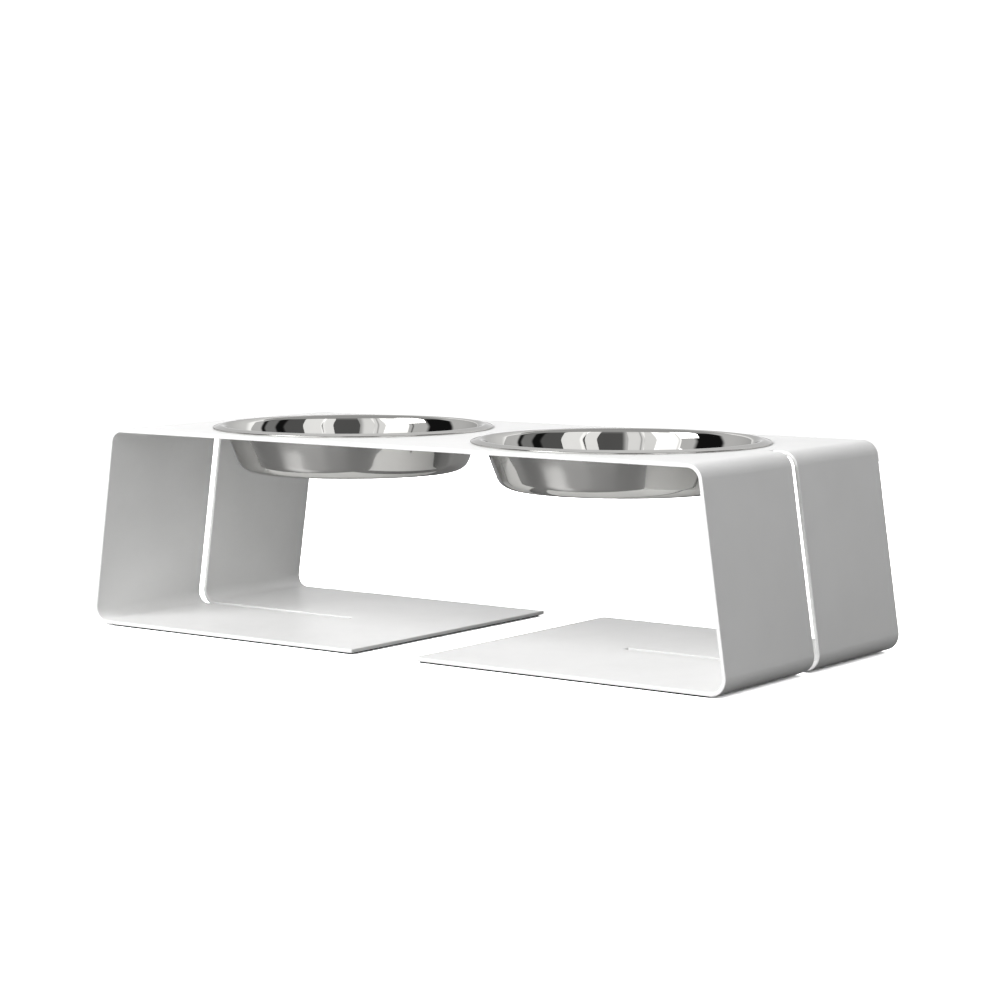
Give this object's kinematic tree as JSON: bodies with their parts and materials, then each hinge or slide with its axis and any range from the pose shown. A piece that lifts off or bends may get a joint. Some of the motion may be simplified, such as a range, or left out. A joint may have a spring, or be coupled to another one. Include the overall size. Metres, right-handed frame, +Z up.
{
  "type": "dog feeder stand",
  "caption": "Low dog feeder folded from white steel sheet: slit legs lean in over flat feet with anti-slip pads, and polished steel bowls hang by their brims in the top plate and lift out.",
  "frame": {"origin": "on the floor, under the middle of the top plate", "axes": "+X along the row of bowls, to the right seen from the front; +Y towards the back; +Z up"},
  "size_m": [0.5958, 0.252, 0.1627],
  "materials": {
    "powder_coat": "satin white powder coat on steel sheet",
    "polished_steel": "mirror-polished stainless steel",
    "pad_rubber": "matt dark anti-slip rubber"
  },
  "bodies": {
    "stand": {"stand": "powder_coat", "left_foot_pad": "pad_rubber", "right_foot_pad": "pad_rubber"},
    "left_bowl": {"left_bowl": "polished_steel"},
    "right_bowl": {"right_bowl": "polished_steel"}
  },
  "joints": [
    {"name": "left_bowl_lift", "type": "slide", "parent": "stand", "child": "left_bowl", "axis": [0, 0, 1], "range_m": [0, 0.12]},
    {"name": "right_bowl_lift", "type": "slide", "parent": "stand", "child": "right_bowl", "axis": [0, 0, 1], "range_m": [0, 0.12]}
  ]
}
